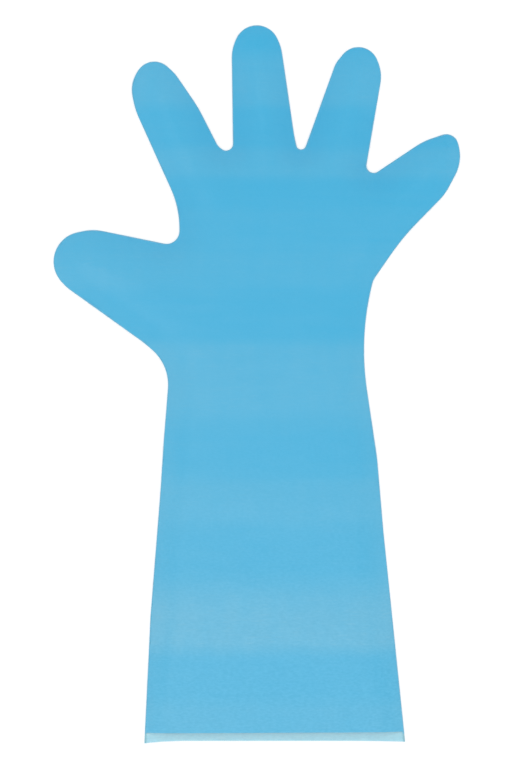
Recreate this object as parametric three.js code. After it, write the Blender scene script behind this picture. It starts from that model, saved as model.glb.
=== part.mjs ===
import * as THREE from "three";

// A long disposable glove of two blue polyethylene films, lying on a table.
// Millimetres. +Z is up, the fingertips point to +Y, the open cuff to -Y, the thumb to -X.
// The films are some 0.03 mm thick in life; here each has a wall of 1 mm.

const OUT = 1;
const IN = -1;

// The outline of the glove from above, clockwise from the cuff corner on the thumb side.
// Each row is a round that the seam runs along: OUT where the glove bulges, IN where it is
// drawn in. Between two rounds the seam is the straight line that touches both.
const ROUNDS = [
  { name: "lower sleeve, thumb side", x: 2.5, y: 72.5, r: 68.5, side: OUT },
  { name: "middle sleeve, thumb side", x: -139.5, y: 160, r: 80, side: IN },
  { name: "upper sleeve, thumb side", x: 22, y: 178.5, r: 80, side: OUT },
  { name: "wrist, thumb side", x: -84, y: 220, r: 29, side: IN },
  { name: "root of the thumb", x: -99.5, y: 209.5, r: 47, side: IN },
  { name: "ball of the thumb", x: -100.5, y: 300, r: 26, side: OUT },
  { name: "thumb tip", x: -107.5, y: 296.5, r: 18.5, side: OUT },
  { name: "thumb, upper side", x: -101.5, y: 285, r: 31, side: OUT },
  { name: "web of the thumb", x: -56, y: 315.5, r: 8, side: IN },
  { name: "root of the index finger", x: -108, y: 317, r: 60, side: IN },
  { name: "index finger, thumb side", x: -27.5, y: 406, r: 50, side: OUT },
  { name: "index shoulder, thumb side", x: -58, y: 403, r: 19.5, side: OUT },
  { name: "index tip", x: -63.5, y: 408.5, r: 12, side: OUT },
  { name: "index shoulder, far side", x: -73, y: 393.5, r: 29.5, side: OUT },
  { name: "index finger, far side", x: -122.5, y: 341, r: 100, side: OUT },
  { name: "first web, start", x: -17, y: 374, r: 9, side: IN },
  { name: "first web", x: -19, y: 369.5, r: 4.2, side: IN },
  { name: "middle shoulder, thumb side", x: 10.5, y: 423, r: 26, side: OUT },
  { name: "middle tip", x: 0, y: 429, r: 14, side: OUT },
  { name: "middle shoulder, far side", x: -12.5, y: 421.5, r: 28.5, side: OUT },
  { name: "second web, start", x: 65, y: 382.5, r: 42.5, side: IN },
  { name: "second web", x: 27.5, y: 369, r: 3, side: IN },
  { name: "ring shoulder, thumb side", x: 63, y: 411.5, r: 16, side: OUT },
  { name: "ring tip", x: 63, y: 417, r: 12.5, side: OUT },
  { name: "ring shoulder, far side", x: 53, y: 411, r: 24, side: OUT },
  { name: "third web", x: 72.5, y: 356, r: 4.5, side: IN },
  { name: "little finger, upper side", x: 121.5, y: 334, r: 41, side: OUT },
  { name: "little tip", x: 117.5, y: 368, r: 7.5, side: OUT },
  { name: "little shoulder", x: 100.5, y: 362, r: 25.5, side: OUT },
  { name: "little finger, lower side", x: 89, y: 358.5, r: 34, side: OUT },
  { name: "edge of the hand", x: 206.5, y: 215.5, r: 150, side: IN },
  { name: "heel of the hand", x: 86.5, y: 278.5, r: 15.5, side: IN },
  { name: "wrist, far side", x: 235, y: 241.5, r: 168.5, side: IN },
  { name: "upper sleeve, far side", x: 8.5, y: 167, r: 66.5, side: OUT },
  { name: "middle sleeve, far side", x: 277.5, y: 149, r: 200, side: IN },
];
const CUFF_CORNER_THUMB_SIDE = { x: -69.5, y: 2, bend: 0 };
const CUFF_CORNER_FAR_SIDE = { x: 91.6, y: 2, bend: 0 };

// How finely the seam is divided.
const STEP_TURN = THREE.MathUtils.degToRad(16);
const STEP_LENGTH = 11.5;
const SHORTEST_ARC = 2;

// The lower film reaches further at the cuff than the upper one, and its corner on the
// thumb side hangs a little lower.
const UPPER_CUFF = { atThumbSide: 3.8, atFarSide: 4.7 };
const LOWER_CUFF = { level: 0, droop: 1.5, droopLength: 28 };

// The weld that joins the films, seen in section: depth from the outline, and height. It
// lies low, beside the edges of both films.
const WELD_SECTION = [
  { inset: 0, z: 0.6 },
  { inset: 0, z: 1.8 },
  { inset: 1, z: 2.3 },
  { inset: 1, z: 0.2 },
];

// The films beside the weld, ring by ring: depth from the outline and height of both faces.
// The upper film rises from the weld, and the lower one lies flat on the table.
const UPPER_EDGE = [
  { inside: { inset: 1.9, z: 1.4 }, outside: { inset: 1.3, z: 2.2 } },
  { inside: { inset: 3.4, z: 3.3 }, outside: { inset: 2.7, z: 4.0 } },
  { inside: { inset: 5.2, z: 5.3 }, outside: { inset: 4.6, z: 6.1 } },
  { inside: { inset: 6.9, z: 6.8 }, outside: { inset: 6.4, z: 7.7 } },
];
const LOWER_EDGE = [{ inside: { inset: 1.3, z: 1 }, outside: { inset: 1.3, z: 0 } }];
const WALL = 1;

// Past the last ring the upper film still rises, less towards the mouth of the cuff.
const CROWN = { rise: 2.6, over: 10, atMouth: 0.5, mouthLength: 70 };

// Soft folds that lie across the upper film: where the crest is, how high it stands, and
// how far it runs out towards the cuff and towards the fingertips.
const FOLDS = [
  { name: "by the cuff", y: 18, height: 0.4, toCuff: 14, toTips: 14 },
  { name: "across the sleeve", y: 62, height: 0.9, toCuff: 10, toTips: 40 },
  { name: "middle of the sleeve", y: 147, height: 0.5, toCuff: 16, toTips: 16 },
  { name: "wrist", y: 225, height: 0.4, toCuff: 28, toTips: 30 },
  { name: "knuckles", y: 291, height: 0.3, toCuff: 16, toTips: 16 },
  { name: "finger joints", y: 358, height: 0.4, toCuff: 14, toTips: 14 },
  { name: "below the fingertips", y: 408, height: 0.4, toCuff: 14, toTips: 14 },
];
const FOLD_FREE_EDGE = 9;

const FILM_COLOR = 0x52b5dd;
const WELD_COLOR = 0x4aa0cc;

// Spacing of the points in the middle of the upper film.
const GRID = 11.5;
const GRID_CLEARANCE = 6;

function headingBetween(a, b) {
  const dx = b.x - a.x;
  const dy = b.y - a.y;
  const lean = Math.asin((b.bend - a.bend) / Math.hypot(dx, dy));
  return Math.atan2(dy, dx) + lean;
}

function pointOnRound(round, heading, inset) {
  const reach = round.bend - inset;
  return [round.x - reach * Math.sin(heading), round.y + reach * Math.cos(heading)];
}

// A station is a place along the seam; stationPoint gives its point at any depth from it.
function stationPoint(station, inset) {
  const a = pointOnRound(station.from, station.heading, inset);
  const b = pointOnRound(station.to, station.heading, inset);
  return [
    THREE.MathUtils.lerp(a[0], b[0], station.t),
    THREE.MathUtils.lerp(a[1], b[1], station.t),
  ];
}

function straightStations(from, to, heading) {
  const a = pointOnRound(from, heading, 0);
  const b = pointOnRound(to, heading, 0);
  const count = Math.ceil(Math.hypot(b[0] - a[0], b[1] - a[1]) / STEP_LENGTH);
  const stations = [];
  for (let i = 1; i < count; i += 1) {
    stations.push({ from, to, heading, t: i / count });
  }
  return stations;
}

function arcStations(round, heading, turn) {
  const length = Math.abs(turn * round.bend);
  if (length < SHORTEST_ARC) {
    return [{ from: round, to: round, heading: heading + turn / 2, t: 0 }];
  }
  const count = Math.ceil(Math.max(Math.abs(turn) / STEP_TURN, length / STEP_LENGTH));
  const stations = [];
  for (let i = 0; i <= count; i += 1) {
    stations.push({ from: round, to: round, heading: heading + (turn * i) / count, t: 0 });
  }
  return stations;
}

function seamStations() {
  const rounds = ROUNDS.map((row) => ({ ...row, bend: row.r * row.side }));
  const start = CUFF_CORNER_THUMB_SIDE;
  const end = CUFF_CORNER_FAR_SIDE;
  let before = start;
  let heading = headingBetween(start, rounds[0]);
  const stations = [{ from: start, to: start, heading, t: 0 }];
  rounds.forEach((round, i) => {
    const after = rounds[i + 1] ?? end;
    const turn = headingBetween(round, after) - heading;
    const shortTurn = Math.atan2(Math.sin(turn), Math.cos(turn));
    stations.push(...straightStations(before, round, heading));
    stations.push(...arcStations(round, heading, shortTurn));
    heading += shortTurn;
    before = round;
  });
  stations.push(...straightStations(before, end, heading));
  stations.push({ from: end, to: end, heading, t: 0 });
  return stations;
}

function upperCuffLine(x) {
  const left = CUFF_CORNER_THUMB_SIDE.x;
  const across = (x - left) / (CUFF_CORNER_FAR_SIDE.x - left);
  return THREE.MathUtils.lerp(UPPER_CUFF.atThumbSide, UPPER_CUFF.atFarSide, across);
}

function lowerCuffLine(x) {
  const along = (x - CUFF_CORNER_THUMB_SIDE.x) / LOWER_CUFF.droopLength;
  const hang = Math.max(0, 1 - along);
  return LOWER_CUFF.level - LOWER_CUFF.droop * hang * hang;
}

// The points of one ring, with its two ends slid along the seam to the line of the cuff.
function ringPoints(stations, inset, cuffLine) {
  const points = stations.map((station) => stationPoint(station, inset));
  for (const i of [0, stations.length - 1]) {
    const [x, y] = points[i];
    const slide = (cuffLine(x) - y) / Math.tan(stations[i].heading);
    points[i] = [x + slide, cuffLine(x)];
  }
  return points;
}

function circleThrough(points, a, b, c) {
  const [ax, ay] = points[a];
  const [bx, by] = [points[b][0] - ax, points[b][1] - ay];
  const [cx, cy] = [points[c][0] - ax, points[c][1] - ay];
  const twice = 2 * (bx * cy - by * cx);
  const bb = bx * bx + by * by;
  const cc = cx * cx + cy * cy;
  const x = (cy * bb - by * cc) / twice;
  const y = (bx * cc - cx * bb) / twice;
  return { corners: [a, b, c], x: ax + x, y: ay + y, reach: x * x + y * y };
}

// Delaunay triangles over flat points, each wound counter-clockwise.
function delaunay(flat) {
  const far = 20000;
  const points = [...flat, [-far, -far], [far, -far], [0, far]];
  const count = flat.length;
  let circles = [circleThrough(points, count, count + 1, count + 2)];
  for (let p = 0; p < count; p += 1) {
    const [x, y] = points[p];
    const rim = new Map();
    circles = circles.filter((circle) => {
      if ((x - circle.x) ** 2 + (y - circle.y) ** 2 > circle.reach) {
        return true;
      }
      circle.corners.forEach((a, i) => {
        const b = circle.corners[(i + 1) % 3];
        const opposite = `${b}-${a}`;
        if (rim.has(opposite)) {
          rim.delete(opposite);
        } else {
          rim.set(`${a}-${b}`, [a, b]);
        }
      });
      return false;
    });
    for (const [a, b] of rim.values()) {
      circles.push(circleThrough(points, a, b, p));
    }
  }
  return circles.map((circle) => circle.corners).filter((t) => Math.max(...t) < count);
}

function isInside([x, y], polygon) {
  let inside = false;
  polygon.forEach(([ax, ay], i) => {
    const [bx, by] = polygon[(i + 1) % polygon.length];
    if (ay > y !== by > y && x < ax + ((y - ay) * (bx - ax)) / (by - ay)) {
      inside = !inside;
    }
  });
  return inside;
}

function distanceToPath([x, y], path) {
  let nearest = Infinity;
  for (let i = 0; i + 1 < path.length; i += 1) {
    const [ax, ay] = path[i];
    const [bx, by] = [path[i + 1][0] - ax, path[i + 1][1] - ay];
    const along = ((x - ax) * bx + (y - ay) * by) / (bx * bx + by * by);
    const t = THREE.MathUtils.clamp(along, 0, 1);
    nearest = Math.min(nearest, Math.hypot(x - ax - t * bx, y - ay - t * by));
  }
  return nearest;
}

function cuffPoints(from, to, cuffLine) {
  const count = Math.round(Math.abs(to[0] - from[0]) / GRID);
  const points = [];
  for (let i = 1; i < count; i += 1) {
    const x = THREE.MathUtils.lerp(from[0], to[0], i / count);
    points.push([x, cuffLine(x)]);
  }
  return points;
}

function gridPoints(polygon) {
  const closed = [...polygon, polygon[0]];
  const box = new THREE.Box2();
  polygon.forEach(([x, y]) => box.expandByPoint(new THREE.Vector2(x, y)));
  const rowStep = (GRID * Math.sqrt(3)) / 2;
  const points = [];
  for (let row = 0; box.min.y + row * rowStep < box.max.y; row += 1) {
    const y = box.min.y + row * rowStep;
    const shift = row % 2 === 0 ? 0 : GRID / 2;
    for (let x = box.min.x + shift; x < box.max.x; x += GRID) {
      const point = [x, y];
      if (isInside(point, polygon) && distanceToPath(point, closed) > GRID_CLEARANCE) {
        points.push(point);
      }
    }
  }
  return points;
}

function crownHeight([x, y], depth) {
  const past = Math.max(0, depth - UPPER_EDGE.at(-1).inside.inset);
  const open = THREE.MathUtils.smoothstep(y, 0, CROWN.mouthLength);
  const share = THREE.MathUtils.lerp(CROWN.atMouth, 1, open);
  const swell = CROWN.rise * share * (1 - Math.exp(-past / CROWN.over));
  let folds = 0;
  for (const fold of FOLDS) {
    const away = (y - fold.y) / (y < fold.y ? fold.toCuff : fold.toTips);
    folds += fold.height * Math.cos((Math.PI / 2) * THREE.MathUtils.clamp(away, -1, 1)) ** 2;
  }
  return swell + folds * THREE.MathUtils.smoothstep(past, 0, FOLD_FREE_EDGE);
}

// One film: rings along the seam, then a net of triangles over the middle. The inner and
// the outer face share the net, and the open borders between them are closed.
function filmGeometry(stations, edge, cuffLine, middle) {
  const inner = [];
  const outer = [];
  const rings = edge.map((row) => {
    const inside = ringPoints(stations, row.inside.inset, cuffLine);
    const outside = ringPoints(stations, row.outside.inset, cuffLine);
    const first = inner.length;
    inside.forEach(([x, y]) => inner.push([x, y, row.inside.z]));
    outside.forEach(([x, y]) => outer.push([x, y, row.outside.z]));
    return { first, inside };
  });
  const triangles = [];
  for (let k = 0; k + 1 < rings.length; k += 1) {
    for (let i = 0; i + 1 < stations.length; i += 1) {
      const a = rings[k].first + i;
      const b = rings[k + 1].first + i;
      triangles.push([a, b, a + 1], [b, b + 1, a + 1]);
    }
  }

  const last = rings.at(-1);
  const start = last.inside[0];
  const end = last.inside.at(-1);
  const cuff = cuffPoints(end, start, cuffLine);
  const polygon = [...last.inside, ...cuff];
  const loose = middle.withGrid ? gridPoints(polygon) : [];
  const net = [...polygon, ...loose];
  const place = net.map((point, i) => {
    if (i < last.inside.length) {
      return last.first + i;
    }
    const z = middle.height(point, edge.at(-1).inside.inset + distanceToPath(point, last.inside));
    inner.push([...point, z]);
    outer.push([...point, z + middle.outerStep]);
    return inner.length - 1;
  });
  const centre = (t, axis) => (net[t[0]][axis] + net[t[1]][axis] + net[t[2]][axis]) / 3;
  for (const t of delaunay(net)) {
    if (isInside([centre(t, 0), centre(t, 1)], polygon)) {
      triangles.push(t.map((corner) => place[corner]));
    }
  }
  return shellGeometry(inner, outer, triangles, middle.outerStep > 0);
}

// Closes two matching faces into one body. The triangles run counter-clockwise from above.
function shellGeometry(inner, outer, triangles, outerIsAbove) {
  const shift = inner.length;
  const above = outerIsAbove ? shift : 0;
  const below = outerIsAbove ? 0 : shift;
  const index = [];
  const border = new Map();
  for (const [a, b, c] of triangles) {
    index.push(above + a, above + b, above + c);
    index.push(below + a, below + c, below + b);
    for (const [p, q] of [[a, b], [b, c], [c, a]]) {
      if (!border.delete(`${q}-${p}`)) {
        border.set(`${p}-${q}`, [p, q]);
      }
    }
  }
  for (const [p, q] of border.values()) {
    index.push(above + q, above + p, below + p);
    index.push(above + q, below + p, below + q);
  }
  const geometry = new THREE.BufferGeometry();
  const positions = [...inner, ...outer].flat();
  geometry.setAttribute("position", new THREE.Float32BufferAttribute(positions, 3));
  geometry.setIndex(index);
  return geometry;
}

// The weld is a thin bar swept along the whole outline, closed at its two ends.
function weldGeometry(stations) {
  const rings = WELD_SECTION.map(({ inset }) => ringPoints(stations, inset, lowerCuffLine));
  const corners = WELD_SECTION.length;
  const positions = [];
  stations.forEach((station, i) => {
    WELD_SECTION.forEach(({ z }, k) => positions.push(...rings[k][i], z));
  });
  const index = [];
  for (let i = 0; i + 1 < stations.length; i += 1) {
    for (let k = 0; k < corners; k += 1) {
      const a = i * corners + k;
      const b = i * corners + ((k + 1) % corners);
      index.push(a, b, a + corners, b, b + corners, a + corners);
    }
  }
  const end = (stations.length - 1) * corners;
  index.push(0, 2, 1, 0, 3, 2);
  index.push(end, end + 1, end + 2, end, end + 2, end + 3);
  const geometry = new THREE.BufferGeometry();
  geometry.setAttribute("position", new THREE.Float32BufferAttribute(positions, 3));
  geometry.setIndex(index);
  return geometry;
}

function namedMesh(name, geometry, color) {
  const mesh = new THREE.Mesh(geometry, new THREE.MeshStandardMaterial({ color }));
  mesh.name = name;
  return mesh;
}

const stations = seamStations();
const upperMiddle = {
  withGrid: true,
  height: (point, depth) => UPPER_EDGE.at(-1).inside.z + crownHeight(point, depth),
  outerStep: WALL,
};
const lowerMiddle = { withGrid: false, height: () => WALL, outerStep: -WALL };
const upperFilm = filmGeometry(stations, UPPER_EDGE, upperCuffLine, upperMiddle);
const lowerFilm = filmGeometry(stations, LOWER_EDGE, lowerCuffLine, lowerMiddle);
const glove = new THREE.Group();
glove.name = "disposable_plastic_glove";
glove.add(namedMesh("upper_film", upperFilm, FILM_COLOR));
glove.add(namedMesh("lower_film", lowerFilm, FILM_COLOR));
glove.add(namedMesh("weld_seam", weldGeometry(stations), WELD_COLOR));

// The origin is the middle of the footprint, on the table.
const footprint = new THREE.Box3().setFromObject(glove).getCenter(new THREE.Vector3());
glove.children.forEach((mesh) => mesh.geometry.translate(-footprint.x, -footprint.y, 0));

export default glove;
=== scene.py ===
"""A long disposable glove of thin blue polyethylene, lying flat with its fingers spread.

A back film and a front film lie on each other. They are welded and cut round their outline
and left open at the cuff. The tables are in millimetres, with y from the cuff's edge towards
the fingertips, as in the part's own source.
"""

import math
from collections import namedtuple

import bpy
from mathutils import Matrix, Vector, noise
from mathutils.geometry import delaunay_2d_cdt
from mathutils.kdtree import KDTree


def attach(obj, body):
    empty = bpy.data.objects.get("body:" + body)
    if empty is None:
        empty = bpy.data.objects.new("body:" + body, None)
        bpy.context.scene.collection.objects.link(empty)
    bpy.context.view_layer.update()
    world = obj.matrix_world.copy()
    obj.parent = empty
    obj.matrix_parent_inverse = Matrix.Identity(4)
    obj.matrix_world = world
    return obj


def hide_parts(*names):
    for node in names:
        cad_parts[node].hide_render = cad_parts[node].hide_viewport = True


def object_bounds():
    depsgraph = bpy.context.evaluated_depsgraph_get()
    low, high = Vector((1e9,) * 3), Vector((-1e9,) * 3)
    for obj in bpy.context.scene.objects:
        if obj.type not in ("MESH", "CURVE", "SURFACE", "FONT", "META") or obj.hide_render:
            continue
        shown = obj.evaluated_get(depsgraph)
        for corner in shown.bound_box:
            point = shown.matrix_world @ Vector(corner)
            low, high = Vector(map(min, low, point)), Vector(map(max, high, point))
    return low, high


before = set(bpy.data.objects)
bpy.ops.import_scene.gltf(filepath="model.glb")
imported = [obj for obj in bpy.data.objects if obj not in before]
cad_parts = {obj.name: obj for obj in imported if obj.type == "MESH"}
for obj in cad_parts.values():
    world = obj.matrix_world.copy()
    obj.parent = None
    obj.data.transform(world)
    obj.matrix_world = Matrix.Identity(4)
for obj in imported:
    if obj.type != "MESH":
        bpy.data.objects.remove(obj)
cad_low, cad_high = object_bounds()

# The table and the light that the glove is seen in.
# A white table top that glows a little, so that no grey is left round the glove, under an even
# white sky. A wide soft lamp hangs high above the cuff, and the camera looks straight down.
WHITE = (1, 1, 1, 1)
PHOTO_HEIGHT_PX = 768
METRES_PER_PX = 0.00062
PHOTO_CENTRE = (-0.0005, -0.0001)
WELD_HEIGHT = 0.0005
LENS_MM = 120
SENSOR_MM = 36
FARTHEST_SEEN = 20
SKY_STRENGTH = 1.035
LAMP_WIDTH = 1.6
LAMP_DEPTH = 1.2
LAMP_WATTS = 4.0
LAMP_PLACE = (-0.2, -0.7, 1.9)
TABLE_REACH = 6.0
TABLE_LEVEL = -0.0002
TABLE_WHITE = (0.85, 0.85, 0.85, 1)
TABLE_ROUGHNESS = 0.8
TABLE_GLOSS = 0.1
TABLE_GLOW = 0.16


def watch_from_above():
    """A long lens, at the distance where a pixel is METRES_PER_PX wide at the weld."""
    data = bpy.data.cameras.new("camera_above")
    data.lens = LENS_MM
    data.sensor_width = SENSOR_MM
    data.clip_end = FARTHEST_SEEN
    camera = bpy.data.objects.new("camera_above", data)
    view_height = PHOTO_HEIGHT_PX * METRES_PER_PX
    distance = view_height * LENS_MM / SENSOR_MM
    camera.location = (*PHOTO_CENTRE, WELD_HEIGHT + distance)
    bpy.context.scene.collection.objects.link(camera)
    bpy.context.scene.camera = camera


def spread_white_sky():
    world = bpy.data.worlds.new("white_sky")
    world.use_nodes = True
    sky = world.node_tree.nodes["Background"]
    sky.inputs["Color"].default_value = WHITE
    sky.inputs["Strength"].default_value = SKY_STRENGTH
    bpy.context.scene.world = world
    bpy.context.scene.view_settings.view_transform = "Standard"


def hang_soft_lamp():
    data = bpy.data.lights.new("soft_lamp", "AREA")
    data.shape = "RECTANGLE"
    data.size = LAMP_WIDTH
    data.size_y = LAMP_DEPTH
    data.energy = LAMP_WATTS
    lamp = bpy.data.objects.new("soft_lamp", data)
    lamp.location = LAMP_PLACE
    to_glove = Vector((0, 0, 0)) - lamp.location
    lamp.rotation_euler = to_glove.to_track_quat("-Z", "Y").to_euler()
    bpy.context.scene.collection.objects.link(lamp)


def lay_table_top():
    signs = [(-1, -1), (1, -1), (1, 1), (-1, 1)]
    corners = [(x * TABLE_REACH, y * TABLE_REACH, TABLE_LEVEL) for x, y in signs]
    mesh = bpy.data.meshes.new("table_top")
    mesh.from_pydata(corners, [], [(0, 1, 2, 3)])
    table = bpy.data.objects.new("table_top", mesh)
    bpy.context.scene.collection.objects.link(table)
    paint = bpy.data.materials.new("white_table")
    paint.use_nodes = True
    shader = paint.node_tree.nodes["Principled BSDF"]
    shader.inputs["Base Color"].default_value = TABLE_WHITE
    shader.inputs["Roughness"].default_value = TABLE_ROUGHNESS
    shader.inputs["Specular IOR Level"].default_value = TABLE_GLOSS
    shader.inputs["Emission Color"].default_value = WHITE
    shader.inputs["Emission Strength"].default_value = TABLE_GLOW
    mesh.materials.append(paint)


watch_from_above()
spread_white_sky()
hang_soft_lamp()
lay_table_top()

# The outline that the glove is welded and cut along.
# A heated wire runs round the hand form, so the line is made of rounds joined by straight
# stretches. The table lists the rounds clockwise from the cuff, with the way each bends.
MM = 0.001
OUT = 1
IN = -1
Round = namedtuple("Round", "name x y r side")
ROUNDS = [
    Round("lower sleeve, thumb side", 2.5, 72.5, 68.5, OUT),
    Round("middle sleeve, thumb side", -139.5, 160, 80, IN),
    Round("upper sleeve, thumb side", 22, 178.5, 80, OUT),
    Round("wrist, thumb side", -84, 220, 29, IN),
    Round("root of the thumb", -99.5, 209.5, 47, IN),
    Round("ball of the thumb", -100.5, 300, 26, OUT),
    Round("thumb tip", -107.5, 296.5, 18.5, OUT),
    Round("thumb, upper side", -101.5, 285, 31, OUT),
    Round("web of the thumb", -56, 315.5, 8, IN),
    Round("root of the index finger", -108, 317, 60, IN),
    Round("index finger, thumb side", -27.5, 406, 50, OUT),
    Round("index shoulder, thumb side", -58, 403, 19.5, OUT),
    Round("index tip", -63.5, 408.5, 12, OUT),
    Round("index shoulder, far side", -73, 393.5, 29.5, OUT),
    Round("index finger, far side", -122.5, 341, 100, OUT),
    Round("first web, start", -17, 374, 9, IN),
    Round("first web", -19, 369.5, 4.2, IN),
    Round("middle shoulder, thumb side", 10.5, 423, 26, OUT),
    Round("middle tip", 0, 429, 14, OUT),
    Round("middle shoulder, far side", -12.5, 421.5, 28.5, OUT),
    Round("second web, start", 65, 382.5, 42.5, IN),
    Round("second web", 27.5, 369, 3, IN),
    Round("ring shoulder, thumb side", 63, 411.5, 16, OUT),
    Round("ring tip", 63, 417, 12.5, OUT),
    Round("ring shoulder, far side", 53, 411, 24, OUT),
    Round("third web", 72.5, 356, 4.5, IN),
    Round("little finger, upper side", 121.5, 334, 41, OUT),
    Round("little tip", 117.5, 368, 7.5, OUT),
    Round("little shoulder", 100.5, 362, 25.5, OUT),
    Round("little finger, lower side", 89, 358.5, 34, OUT),
    Round("edge of the hand", 206.5, 215.5, 150, IN),
    Round("heel of the hand", 86.5, 278.5, 15.5, IN),
    Round("wrist, far side", 235, 241.5, 168.5, IN),
    Round("upper sleeve, far side", 8.5, 167, 66.5, OUT),
    Round("middle sleeve, far side", 277.5, 149, 200, IN),
]
CUFF_CORNERS = [Round("cuff, thumb side", -69.5, 2, 0, OUT), Round("cuff, far side", 91.6, 2, 0, OUT)]
STEP_LENGTH = 1.8
STEP_TURN = math.radians(5)
LOWEST_Y_OF_SOLIDS = -1.5

Station = namedtuple("Station", "start end share heading")


def heading_between(a, b):
    dx = b.x - a.x
    dy = b.y - a.y
    lean = math.asin((b.r * b.side - a.r * a.side) / math.hypot(dx, dy))
    return math.atan2(dy, dx) + lean


def point_on_round(rnd, heading, inset):
    reach = rnd.r * rnd.side - inset
    return Vector((rnd.x - reach * math.sin(heading), rnd.y + reach * math.cos(heading)))


def slide_to_cuff(point, heading, cuff_line):
    """The point moved along its heading, to the line where the film ends at the cuff."""
    x = point.x + (cuff_line(point.x) - point.y) / math.tan(heading)
    return Vector((x, cuff_line(x)))


def station_point(station, inset, cuff_line):
    """Where the station lies on the line that runs the inset inside the outline."""
    ends = []
    for rnd in (station.start, station.end):
        end = point_on_round(rnd, station.heading, inset)
        ends.append(slide_to_cuff(end, station.heading, cuff_line) if rnd in CUFF_CORNERS else end)
    return ends[0].lerp(ends[1], station.share)


def straight_stations(a, b, heading):
    length = (point_on_round(b, heading, 0) - point_on_round(a, heading, 0)).length
    count = math.ceil(length / STEP_LENGTH)
    return [Station(a, b, i / count, heading) for i in range(1, count)]


def arc_stations(rnd, heading, turn):
    count = math.ceil(max(abs(turn) / STEP_TURN, abs(turn) * rnd.r / STEP_LENGTH))
    return [Station(rnd, rnd, 0, heading + turn * i / count) for i in range(count + 1)]


def walk_outline():
    """Stations from one corner of the cuff, round the hand, to the other corner."""
    path = [CUFF_CORNERS[0], *ROUNDS, CUFF_CORNERS[1]]
    heading = heading_between(path[0], path[1])
    stations = [Station(path[0], path[0], 0, heading)]
    for before, here, after in zip(path, path[1:], path[2:]):
        turn = math.remainder(heading_between(here, after) - heading, math.tau)
        stations += straight_stations(before, here, heading)
        stations += arc_stations(here, heading, turn)
        heading += turn
    stations += straight_stations(path[-2], path[-1], heading)
    stations.append(Station(path[-1], path[-1], 0, heading))
    return stations


def in_frame(x, y, z):
    """A place in the tables' millimetres as a place in the model's metres."""
    middle_y = (cad_high.y - cad_low.y) / 2 + LOWEST_Y_OF_SOLIDS * MM
    return (x * MM, y * MM - middle_y, z * MM)


STATIONS = walk_outline()

# The back film of the glove.
# Blown polyethylene, some 0.03 mm thick, with a fine grain rolled into it and pale bands across it,
# partly its haze and partly painted sheen.
# It lies flat on the table, and at the cuff it reaches some 5 mm past the front film.
Ripple = namedtuple("Ripple", "name size x_span y_span seed")
Band = namedtuple("Band", "name low high strength below above")
Spot = namedtuple("Spot", "x y depth along")
Corner = namedtuple("Corner", "name reach droop")

# The cut of the film and the net that it is made of
LIP_EDGE = -0.7
LIP_CORNERS = [Corner("thumb side", 28, -1.5), Corner("far side", 40, -0.5)]
FILM_RINGS = [0.5, 0.9, 1.5, 2.3, 3.3, 4.5, 5.8, 6.9]
FILM_GRID = 2.0
CLEAR_OF_RINGS = 0.8
INSIDE_ONLY = 1
SAME_PLACE = 1e-6
FILM_THICKNESS = 0.16
CUT_EDGE_ANGLE = math.radians(60)

# How it lies, with gathers by the weld
GATHERS = [Ripple("small gathers", 0.75, 4.5, 30, 3.1), Ripple("wide gathers", 0.9, 13, 40, 7.7)]
GATHER_RISE_OVER = 1.5
GATHER_FADE_OVER = 5.5
BACK_BELOW_WELD = 0.2
BACK_FALL_OVER = 1.6
BACK_LIFT = 0.12
BACK_SWELL = Ripple("swell of the back film", 0.12, 30, 12, 2.2)
BACK_GATHER_SHARE = 0.4
BACK_GATHER_SHIFT = 400

# Its blue, and the pale tone over it: partly milky haze, partly painted sheen and painted light
BACK_ALPHA = 0.41
# Darker at the fingertips and lighter towards the cuff: partly the film's own tone, partly painted
# light.
BACK_BLUE_AT_TIPS = (0.0, 0.44, 0.72, 1)
BACK_BLUE_AT_CUFF = (0.05, 0.49, 0.75, 1)
BACK_PALE = (0.33, 0.705, 0.825, 1)
BACK_HAZE_AND_LIGHT_SEED = 21.5
PALER_TO_THUMB_PER_MM = 0.0006
# Painted light: the sleeve is painted paler near the weld, where its slopes turn into shade.
PAINTED_LIGHT_BY_WELD = 0.06
PAINTED_LIGHT_BY_WELD_OVER = 8
SLEEVE_ENDS_BETWEEN = (200, 260)
# Painted light on the lip: pale by the front film's edge against the mouth's shade, darker towards its
# free edge.
LIP_ENDS_BETWEEN = (5, 9)
LIP_DARKEST_Y = -1
LIP_DARKER_AT_EDGE = 0.15
# Painted sheen and haze: pale bands at the front film's folds, where they catch the light, on a film
# that is partly milky.
HAZE_AND_SHEEN_BANDS = [
    Band("all but the fingertips", 0, 405, 0.045, 9, 22),
    Band("by the cuff", 10, 18, 0.075, 12, 12),
    Band("across the sleeve", 63, 77, 0.24, 14, 33),
    Band("middle of the sleeve", 144, 156, 0.095, 20, 12),
    Band("wrist", 214, 240, 0.12, 30, 12),
    Band("palm", 284, 326, 0.03, 14, 6),
    Band("knuckles", 287, 298, 0.035, 10, 12),
    Band("finger joints", 352, 361, 0.09, 8, 10),
    Band("below the fingertips", 397, 418, 0.1, 9, 16),
]
BAND_WANDER = [Ripple("slow wander", 1.0, 45, 45, 0), Ripple("quick wander", 0.6, 11, 30, 4)]
SMEAR_OF_HAZE_AND_SHEEN = Ripple("smear along the glove", 0.16, 7, 24, 12)
HAZE_STREAKS = Ripple("streaks across the glove", 0.02, 60, 3.5, 8)

# Its gloss and its rolled grain, placed in the model's own metres
FILM_ROUGHNESS = 0.34
FILM_GLOSS = 0.4
POLYETHYLENE_IOR = 1.51
PATTERN_DETAIL = 2.0
TINT_FROM_Y = 0.13
GRAIN_FROM_Y = 0.0
CUFF_Y = -0.2
GRAIN_PER_METRE = (420, 900, 420)
GRAIN_PIT = 0.3
GRAIN_PEAK = 0.7
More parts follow.
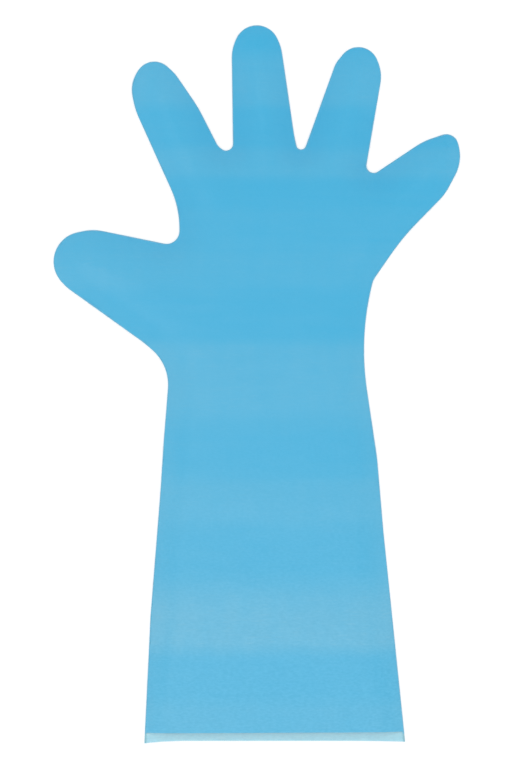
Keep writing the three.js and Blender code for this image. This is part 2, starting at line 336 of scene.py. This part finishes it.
# GRAIN_SHADE paints the light and shade of the embossed grain into the colour.
GRAIN_SHADE = 0.03
GRAIN_MILK = 0.03
GRAIN_ON_HAND = 0.25
GRAIN_AT_CUFF = 1.35
EMBOSSING_STRENGTH = 0.25
EMBOSSING_DEPTH = 0.0002
STROKES_PER_METRE = (130, 900, 130)
STROKE_START = 0.56
STROKE_FULL = 0.7
STROKE_STRENGTH = 0.24


def smooth_step(value, low, high):
    t = min(max((value - low) / (high - low), 0), 1)
    return t * t * (3 - 2 * t)


def rippled(ripple, x, y, shift=0):
    """How far the uneven film departs from even at a place, by up to the ripple's size."""
    place = Vector((x / ripple.x_span, y / ripple.y_span, ripple.seed + shift))
    return ripple.size * noise.noise(place)


def back_cuff_line(x):
    """The free edge of the lip, which hangs a little lower at both corners."""
    line = LIP_EDGE
    for end, corner in zip(CUFF_CORNERS, LIP_CORNERS):
        hang = max(0, 1 - abs(x - end.x) / corner.reach)
        line += corner.droop * hang * hang
    return line


def gathers(along, depth):
    """Small gathers where the film runs into the weld, deepest some 2 mm from it."""
    fade = (1 - math.exp(-depth / GATHER_RISE_OVER)) * math.exp(-depth / GATHER_FADE_OVER)
    return fade * sum(rippled(ripple, along, depth) for ripple in GATHERS)


def back_height(spot):
    fall = (WELD_HEIGHT / MM - BACK_BELOW_WELD) * math.exp(-spot.depth / BACK_FALL_OVER)
    swell = BACK_LIFT + rippled(BACK_SWELL, spot.x, spot.y)
    pucker = max(0, BACK_GATHER_SHARE * gathers(spot.along + BACK_GATHER_SHIFT, spot.depth))
    return FILM_THICKNESS / 2 + fall + swell + pucker


def haze_and_painted_light(spot, seed):
    """How pale the film is painted, from 0 where it is clear blue: bands across it, partly haze and
    partly painted sheen, paler towards the thumb side, painted light by the weld on the sleeve, and
    streaks.
    """
    at = spot.y
    for ripple in BAND_WANDER:
        at += rippled(ripple, spot.x, spot.y, seed)
    on_sleeve = 1 - smooth_step(spot.y, *SLEEVE_ENDS_BETWEEN)
    pale = PALER_TO_THUMB_PER_MM * max(0, -spot.x)
    # Painted light by the weld, on the sleeve only.
    pale += PAINTED_LIGHT_BY_WELD * math.exp(-spot.depth / PAINTED_LIGHT_BY_WELD_OVER) * on_sleeve
    for band in HAZE_AND_SHEEN_BANDS:
        up = smooth_step(at, band.low - band.below, band.low)
        down = 1 - smooth_step(at, band.high, band.high + band.above)
        pale += band.strength * up * down
    smeared = pale * (1 + rippled(SMEAR_OF_HAZE_AND_SHEEN, spot.x, spot.y, seed))
    return smeared + rippled(HAZE_STREAKS, spot.x, spot.y, seed)


def back_haze_and_painted_light(spot):
    """The film's haze and painted light, and the lip past the front film, evenly pale: its milky tone,
    with painted light that lifts the shade of the mouth by the front film's edge.
    """
    lip_top, film_start = LIP_ENDS_BETWEEN
    lip = 1 - smooth_step(spot.y, lip_top, film_start)
    # Painted light: lighter by the front film's edge, where the mouth shades the lip.
    lip_tone_and_painted_light = 1 - LIP_DARKER_AT_EDGE * (1 - smooth_step(spot.y, LIP_DARKEST_Y, lip_top))
    return haze_and_painted_light(spot, BACK_HAZE_AND_LIGHT_SEED) * (1 - lip) + lip_tone_and_painted_light * lip


def outline_lookup():
    """The stations as a search tree, and how far along the outline each lies."""
    tree = KDTree(len(STATIONS))
    run = []
    last = None
    for i, station in enumerate(STATIONS):
        point = station_point(station, 0, back_cuff_line)
        tree.insert((point.x, point.y, 0), i)
        run.append(0 if last is None else run[-1] + (point - last).length)
        last = point
    tree.balance()
    return tree, run


def strips_between_rings(count):
    faces = []
    for k in range(len(FILM_RINGS) - 1):
        for i in range(count - 1):
            a = k * count + i
            b = a + count
            faces.append((a, b, b + 1, a + 1))
    return faces


def cuff_points(a, b, cuff_line):
    count = round(abs(b.x - a.x) / STEP_LENGTH)
    xs = [a.x + (b.x - a.x) * i / count for i in range(1, count)]
    return [Vector((x, cuff_line(x))) for x in xs]


def grid_points():
    """Rows of points over the whole glove, each row moved half a step past the last."""
    low = cad_low.x / MM
    high = cad_high.x / MM
    top = (cad_high.y - cad_low.y) / MM
    row_step = FILM_GRID * math.sqrt(3) / 2
    points = []
    for row in range(int(top / row_step) + 1):
        y = row * row_step
        shift = FILM_GRID / 2 * (row % 2)
        count = int((high - low) / FILM_GRID)
        points += [Vector((low + shift + FILM_GRID * i, y)) for i in range(count)]
    return points


def middle_triangles(border):
    """Triangles that fill the border loop, with grid points kept a little off the border."""
    tree = KDTree(len(border))
    for i, point in enumerate(border):
        tree.insert((point.x, point.y, 0), i)
    tree.balance()
    loose = []
    for point in grid_points():
        _, _, gap = tree.find((point.x, point.y, 0))
        if gap > CLEAR_OF_RINGS * FILM_GRID:
            loose.append(point)
    loop = list(range(len(border)))
    points, _, triangles, *_ = delaunay_2d_cdt([*border, *loose], [], [loop], INSIDE_ONLY, SAME_PLACE)
    return points, triangles


def film_mesh(name, cuff_line, height, haze_and_light_at):
    """Rings beside the weld, then a net of triangles over the middle."""
    tree, run = outline_lookup()
    count = len(STATIONS)
    spots = []
    for inset in FILM_RINGS:
        ring = [station_point(station, inset, cuff_line) for station in STATIONS]
        spots += [Spot(point.x, point.y, inset, along) for point, along in zip(ring, run)]
    faces = strips_between_rings(count)

    innermost = ring
    first = len(spots) - count
    border = innermost + cuff_points(innermost[-1], innermost[0], cuff_line)
    points, triangles = middle_triangles(border)
    place = {}
    for i, point in enumerate(points):
        if i < count:
            place[i] = first + i
            continue
        _, index, distance = tree.find((point.x, point.y, 0))
        place[i] = len(spots)
        spots.append(Spot(point.x, point.y, distance, run[index]))
    faces += [tuple(place[i] for i in triangle) for triangle in triangles]

    mesh = bpy.data.meshes.new(name)
    mesh.from_pydata([in_frame(spot.x, spot.y, height(spot)) for spot in spots], [], faces)
    haze_and_light_share = mesh.attributes.new("haze_and_painted_light_share", "FLOAT", "POINT")
    haze_and_light_share.data.foreach_set("value", [max(0, haze_and_light_at(spot)) for spot in spots])
    mesh.shade_smooth()
    return mesh


def film_pattern(tree, places, per_metre):
    """A cloudy pattern drawn out along the glove's width or length, with its scale each way."""
    stretch = tree.nodes.new("ShaderNodeMapping")
    stretch.inputs["Scale"].default_value = per_metre
    pattern = tree.nodes.new("ShaderNodeTexNoise")
    pattern.inputs["Scale"].default_value = 1.0
    pattern.inputs["Detail"].default_value = PATTERN_DETAIL
    tree.links.new(places, stretch.inputs["Vector"])
    tree.links.new(stretch.outputs["Vector"], pattern.inputs["Vector"])
    return pattern.outputs["Fac"]


def ramp(tree, value, low, high, to_low, to_high):
    """The value carried from the range low to high over to another range."""
    carried = tree.nodes.new("ShaderNodeMapRange")
    carried.inputs["From Min"].default_value = low
    carried.inputs["From Max"].default_value = high
    carried.inputs["To Min"].default_value = to_low
    carried.inputs["To Max"].default_value = to_high
    tree.links.new(value, carried.inputs["Value"])
    return carried.outputs["Result"]


def calculate(tree, operation, first, second):
    """The result of a sum of a socket's value and a number or another socket's value."""
    step = tree.nodes.new("ShaderNodeMath")
    step.operation = operation
    tree.links.new(first, step.inputs[0])
    if isinstance(second, float):
        step.inputs[1].default_value = second
    else:
        tree.links.new(second, step.inputs[1])
    return step.outputs["Value"]


def mix_colours(tree, share, first, second):
    """Two colours mixed; each is a colour or another node's socket."""
    mixed = tree.nodes.new("ShaderNodeMix")
    mixed.data_type = "RGBA"
    tree.links.new(share, mixed.inputs["Factor"])
    for socket, colour in ((mixed.inputs["A"], first), (mixed.inputs["B"], second)):
        if isinstance(colour, tuple):
            socket.default_value = colour
        else:
            tree.links.new(colour, socket)
    return mixed.outputs["Result"]


def emboss(tree, shader, grain):
    bump = tree.nodes.new("ShaderNodeBump")
    bump.inputs["Strength"].default_value = EMBOSSING_STRENGTH
    bump.inputs["Distance"].default_value = EMBOSSING_DEPTH
    tree.links.new(grain, bump.inputs["Height"])
    tree.links.new(bump.outputs["Normal"], shader.inputs["Normal"])


def film_material(name, alpha, blue_at_tips, blue_at_cuff, pale_blue):
    """Embossed film: blue, a little lighter towards the cuff, partly as painted light; pale in bands of
    haze and painted sheen; and grained, with the grain's light and shade painted in.
    """
    film = bpy.data.materials.new(name)
    film.use_nodes = True
    tree = film.node_tree
    shader = tree.nodes["Principled BSDF"]
    shader.inputs["Roughness"].default_value = FILM_ROUGHNESS
    shader.inputs["IOR"].default_value = POLYETHYLENE_IOR
    shader.inputs["Specular IOR Level"].default_value = FILM_GLOSS
    shader.inputs["Alpha"].default_value = alpha

    places = tree.nodes.new("ShaderNodeTexCoord").outputs["Object"]
    split = tree.nodes.new("ShaderNodeSeparateXYZ")
    tree.links.new(places, split.inputs["Vector"])
    up_glove = split.outputs["Y"]
    to_cuff = ramp(tree, up_glove, TINT_FROM_Y, CUFF_Y, 0, 1)
    to_cuff.node.interpolation_type = "SMOOTHSTEP"
    grain = film_pattern(tree, places, GRAIN_PER_METRE)
    coarseness = ramp(tree, up_glove, GRAIN_FROM_Y, CUFF_Y, GRAIN_ON_HAND, GRAIN_AT_CUFF)
    coarse = calculate(tree, "MULTIPLY", ramp(tree, grain, GRAIN_PIT, GRAIN_PEAK, -1, 1), coarseness)
    strokes = film_pattern(tree, places, STROKES_PER_METRE)
    flecked = ramp(tree, strokes, STROKE_START, STROKE_FULL, 1, 1 + STROKE_STRENGTH)

    # The pale share from the mesh: haze with painted sheen and painted light, flecked with strokes.
    haze_and_light_share = tree.nodes.new("ShaderNodeAttribute")
    haze_and_light_share.attribute_name = "haze_and_painted_light_share"
    flecked_haze_and_light = calculate(tree, "MULTIPLY", haze_and_light_share.outputs["Fac"], flecked)
    mottled = calculate(tree, "ADD", flecked_haze_and_light, calculate(tree, "MULTIPLY", coarse, GRAIN_MILK))
    # Painted shade: the grain makes the colour lighter and darker, as light falls on the embossing.
    shade = calculate(tree, "ADD", calculate(tree, "MULTIPLY", coarse, GRAIN_SHADE), 1.0)

    blue = mix_colours(tree, to_cuff, blue_at_tips, blue_at_cuff)
    hazed = mix_colours(tree, mottled, blue, pale_blue)
    grained = tree.nodes.new("ShaderNodeVectorMath")
    grained.operation = "SCALE"
    tree.links.new(hazed, grained.inputs["Vector"])
    tree.links.new(shade, grained.inputs["Scale"])
    tree.links.new(grained.outputs["Vector"], shader.inputs["Base Color"])
    emboss(tree, shader, grain)
    return film


def finished(draft):
    """The object with its modifiers worked into a plain mesh, under the same name."""
    name = draft.name
    shape = bpy.data.meshes.new_from_object(draft.evaluated_get(bpy.context.evaluated_depsgraph_get()))
    bpy.data.objects.remove(draft)
    shape.name = name
    piece = bpy.data.objects.new(name, shape)
    bpy.context.scene.collection.objects.link(piece)
    return piece


def make_film(name, mesh, material, node):
    mesh.materials.append(material)
    sheet = bpy.data.objects.new(name, mesh)
    bpy.context.scene.collection.objects.link(sheet)
    wall = sheet.modifiers.new("film_wall", "SOLIDIFY")
    wall.thickness = FILM_THICKNESS * MM
    wall.offset = 0
    film = finished(sheet)
    film.data.set_sharp_from_angle(angle=CUT_EDGE_ANGLE)
    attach(film, "root")
    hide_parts(node)
    return film


on_table = film_material("film_on_table", BACK_ALPHA, BACK_BLUE_AT_TIPS, BACK_BLUE_AT_CUFF, BACK_PALE)
back_mesh = film_mesh("back_film", back_cuff_line, back_height, back_haze_and_painted_light)
back_film = make_film("back_film", back_mesh, on_table, "lower_film")

# The front film of the glove.
# The same polyethylene, cut off straight above the lip. Air under it lifts it to a low crown with
# soft folds. Its material is nearly dense, because with both films clear the grain is lost.
Fold = namedtuple("Fold", "name y height to_cuff to_tips")
FRONT_CUFF_THUMB_SIDE = 4.4
FRONT_CUFF_FAR_SIDE = 5.2
FRONT_ABOVE_WELD = 0.12
FRONT_RISE = 7.0
FRONT_RISE_OVER = 8.5
FRONT_RISE_POWER = 1.25
CROWN_RISE = 2.0
CROWN_OVER = 12.0
FOLDS_START_BETWEEN = (2, 14)
FOLDS = [
    Fold("by the cuff", 18, 0.4, 14, 14),
    Fold("across the sleeve", 62, 0.9, 10, 40),
    Fold("middle of the sleeve", 147, 0.5, 16, 16),
    Fold("wrist", 225, 0.4, 28, 30),
    Fold("knuckles", 291, 0.3, 16, 16),
    Fold("finger joints", 358, 0.4, 14, 14),
    Fold("below the fingertips", 408, 0.4, 14, 14),
]
FRONT_SWELL = Ripple("swell of the front film", 0.35, 60, 24, 1.7)
CREASE_TOP = 0.5
LONG_CREASES = Ripple("creases along the glove", 0.8, 34, 60, 5.3)
CROSS_CREASES = Ripple("creases across the glove", 0.4, 26, 13, 8.1)
WEB_DIP = 0.5
WEB_REACH = 20.0
WIDEST_WEB = 10
WEBS = [rnd for rnd in ROUNDS if rnd.side == IN and rnd.r < WIDEST_WEB]
MOUTH_SHARE = 0.3
MOUTH_LENGTH = 70.0
FRONT_ALPHA = 0.9
# Darker at the fingertips and lighter towards the cuff: partly the film's own tone, partly painted
# light; the cuff's blue also carries a little painted sheen.
FRONT_BLUE_AT_TIPS = (0.039, 0.431, 0.716, 1)
FRONT_BLUE_AT_CUFF = (0.074, 0.457, 0.72, 1)
FRONT_PALE = (0.275, 0.55, 0.675, 1)
FRONT_HAZE_AND_LIGHT_SEED = 9.2


def front_cuff_line(x):
    left, right = CUFF_CORNERS
    share = (x - left.x) / (right.x - left.x)
    return FRONT_CUFF_THUMB_SIDE + (FRONT_CUFF_FAR_SIDE - FRONT_CUFF_THUMB_SIDE) * share


def fold_height(y):
    total = 0
    for fold in FOLDS:
        away = (y - fold.y) / (fold.to_cuff if y < fold.y else fold.to_tips)
        total += fold.height * math.cos(math.pi / 2 * min(max(away, -1), 1)) ** 2
    return total


def crease_height(ripple, spot):
    """Creases stand where the ripple is nought, so they are thin and winding."""
    return ripple.size * CREASE_TOP - abs(rippled(ripple, spot.x, spot.y))


def held_by_webs(x, y):
    """The share of its height that the film keeps beside the webs, where welds hold it down."""
    away = min(math.hypot(x - web.x, y - web.y) for web in WEBS) / WEB_REACH
    return 1 - WEB_DIP * math.exp(-away * away)


def front_height(spot):
    from_weld = max(0, spot.depth - FILM_RINGS[0])
    rise = FRONT_RISE * (1 - math.exp(-((from_weld / FRONT_RISE_OVER) ** FRONT_RISE_POWER)))
    crown = CROWN_RISE * (1 - math.exp(-from_weld / CROWN_OVER))
    open_share = MOUTH_SHARE + (1 - MOUTH_SHARE) * smooth_step(spot.y, 0, MOUTH_LENGTH)
    air = (rise + crown) * open_share * held_by_webs(spot.x, spot.y)
    creases = crease_height(LONG_CREASES, spot) + crease_height(CROSS_CREASES, spot)
    relief = fold_height(spot.y) + rippled(FRONT_SWELL, spot.x, spot.y) + creases
    relief *= smooth_step(spot.depth, *FOLDS_START_BETWEEN)
    return WELD_HEIGHT / MM + FRONT_ABOVE_WELD + air + relief + gathers(spot.along, spot.depth)


# The front film takes the same bands of haze and painted sheen, with painted light by the weld.
def front_haze_and_painted_light(spot):
    return haze_and_painted_light(spot, FRONT_HAZE_AND_LIGHT_SEED)


standing_clear = film_material(
    "film_standing_clear", FRONT_ALPHA, FRONT_BLUE_AT_TIPS, FRONT_BLUE_AT_CUFF, FRONT_PALE
)
front_mesh = film_mesh("front_film", front_cuff_line, front_height, front_haze_and_painted_light)
front_film = make_film("front_film", front_mesh, standing_clear, "upper_film")

# The weld round the glove.
# The hot wire fuses both films into one narrow bead and cuts it free in the same stroke. The
# bead swells and thins a little along its way, and is denser than the film.
WELD_INSET = 0.5
WELD_WIDTH = 0.00098
WELD_FLATNESS = 0.5
WELD_SIDES = 8
WELD_STEP = 0.0009
WELD_CRIMP = 0.16
WELD_CRIMPS_PER_METRE = 420.0
CRIMP_DETAIL = 1.0
MIDDLE_OF_NOISE = 0.5
WELD_WANDER = Ripple("wander up and down", 0.12, 9, 1, 6.6)
WANDER_ROW = 0.3
WELD_ROUGHNESS = 0.3
WELD_ALPHA = 0.8
WELD_CLOUDS_PER_METRE = (300, 300, 300)
# The bead's own darker blue, set a little lighter as painted light against the shade on its outer side.
WELD_COLOUR = (0.12, 0.50, 0.74, 1)
WELD_DARKER = (0.11, 0.45, 0.67, 1)
LIP_RIM_COLOUR = (0.27, 0.56, 0.66, 1)


def add_input(tree, name, kind, value):
    socket = tree.interface.new_socket(name=name, in_out="INPUT", socket_type=kind)
    socket.default_value = value


def weld_tree(material):
    """Nodes that lay a flattened, slightly uneven bead along an edge path."""
    tree = bpy.data.node_groups.new("weld_bead", "GeometryNodeTree")
    tree.interface.new_socket(name="Path", in_out="INPUT", socket_type="NodeSocketGeometry")
    add_input(tree, "Width", "NodeSocketFloat", WELD_WIDTH)
    add_input(tree, "Flatness", "NodeSocketFloat", WELD_FLATNESS)
    add_input(tree, "Sides", "NodeSocketInt", WELD_SIDES)
    add_input(tree, "Step", "NodeSocketFloat", WELD_STEP)
    add_input(tree, "Crimp", "NodeSocketFloat", WELD_CRIMP)
    add_input(tree, "Crimps per Metre", "NodeSocketFloat", WELD_CRIMPS_PER_METRE)
    tree.interface.new_socket(name="Bead", in_out="OUTPUT", socket_type="NodeSocketGeometry")
    nodes = tree.nodes
    links = tree.links
    sizes = nodes.new("NodeGroupInput")
    out = nodes.new("NodeGroupOutput")

    path = nodes.new("GeometryNodeMeshToCurve")
    links.new(sizes.outputs["Path"], path.inputs["Mesh"])
    steps = nodes.new("GeometryNodeResampleCurve")
    steps.mode = "LENGTH"
    links.new(path.outputs["Curve"], steps.inputs["Curve"])
    links.new(sizes.outputs["Step"], steps.inputs["Length"])
    level = nodes.new("GeometryNodeSetCurveNormal")
    level.mode = "Z_UP"
    links.new(steps.outputs["Curve"], level.inputs["Curve"])

    crimps = nodes.new("ShaderNodeTexNoise")
    crimps.inputs["Detail"].default_value = CRIMP_DETAIL
    links.new(sizes.outputs["Crimps per Metre"], crimps.inputs["Scale"])
    swing = calculate(tree, "SUBTRACT", crimps.outputs["Fac"], MIDDLE_OF_NOISE)
    swell = calculate(tree, "ADD", calculate(tree, "MULTIPLY", swing, sizes.outputs["Crimp"]), 1.0)
    scaled = nodes.new("GeometryNodeSetCurveRadius")
    links.new(level.outputs["Curve"], scaled.inputs["Curve"])
    links.new(swell, scaled.inputs["Radius"])

    section = nodes.new("GeometryNodeCurvePrimitiveCircle")
    links.new(sizes.outputs["Sides"], section.inputs["Resolution"])
    links.new(calculate(tree, "MULTIPLY", sizes.outputs["Width"], 0.5), section.inputs["Radius"])
    squash = nodes.new("ShaderNodeCombineXYZ")
    squash.inputs["X"].default_value = 1.0
    squash.inputs["Z"].default_value = 1.0
    links.new(sizes.outputs["Flatness"], squash.inputs["Y"])
    flat = nodes.new("GeometryNodeTransform")
    links.new(section.outputs["Curve"], flat.inputs["Geometry"])
    links.new(squash.outputs["Vector"], flat.inputs["Scale"])

    bead = nodes.new("GeometryNodeCurveToMesh")
    bead.inputs["Fill Caps"].default_value = True
    links.new(scaled.outputs["Curve"], bead.inputs["Curve"])
    links.new(flat.outputs["Geometry"], bead.inputs["Profile Curve"])
    plain = nodes.new("GeometryNodeRealizeInstances")
    links.new(bead.outputs["Mesh"], plain.inputs["Geometry"])
    coat = nodes.new("GeometryNodeSetMaterial")
    coat.inputs["Material"].default_value = material
    links.new(plain.outputs["Geometry"], coat.inputs["Geometry"])
    links.new(coat.outputs["Geometry"], out.inputs["Bead"])
    return tree


def weld_material():
    """Fused film, cloudy and dense; beside the lip, only the pale melted rim of one film."""
    weld = bpy.data.materials.new("fused_film")
    weld.use_nodes = True
    tree = weld.node_tree
    shader = tree.nodes["Principled BSDF"]
    shader.inputs["Roughness"].default_value = WELD_ROUGHNESS
    shader.inputs["IOR"].default_value = POLYETHYLENE_IOR
    shader.inputs["Alpha"].default_value = WELD_ALPHA
    places = tree.nodes.new("ShaderNodeTexCoord").outputs["Object"]
    split = tree.nodes.new("ShaderNodeSeparateXYZ")
    tree.links.new(places, split.inputs["Vector"])
    cloud = film_pattern(tree, places, WELD_CLOUDS_PER_METRE)
    fused = mix_colours(tree, cloud, WELD_COLOUR, WELD_DARKER)
    _, lip_top, _ = in_frame(0, FRONT_CUFF_THUMB_SIDE, 0)
    on_lip = ramp(tree, split.outputs["Y"], lip_top - MM, lip_top, 1, 0)
    colour = mix_colours(tree, on_lip, fused, LIP_RIM_COLOUR)
    tree.links.new(colour, shader.inputs["Base Color"])
    return weld


def make_weld():
    verts = []
    for i, station in enumerate(STATIONS):
        point = station_point(station, WELD_INSET, back_cuff_line)
        verts.append(in_frame(point.x, point.y, WELD_HEIGHT / MM + rippled(WELD_WANDER, i, WANDER_ROW)))
    edges = [(i, i + 1) for i in range(len(verts) - 1)]
    mesh = bpy.data.meshes.new("weld_path")
    mesh.from_pydata(verts, edges, [])
    path = bpy.data.objects.new("weld_bead", mesh)
    bpy.context.scene.collection.objects.link(path)
    bead = path.modifiers.new("bead", "NODES")
    bead.node_group = weld_tree(weld_material())
    return finished(path)


weld = make_weld()
weld.data.shade_smooth()
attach(weld, "root")
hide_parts("weld_seam")
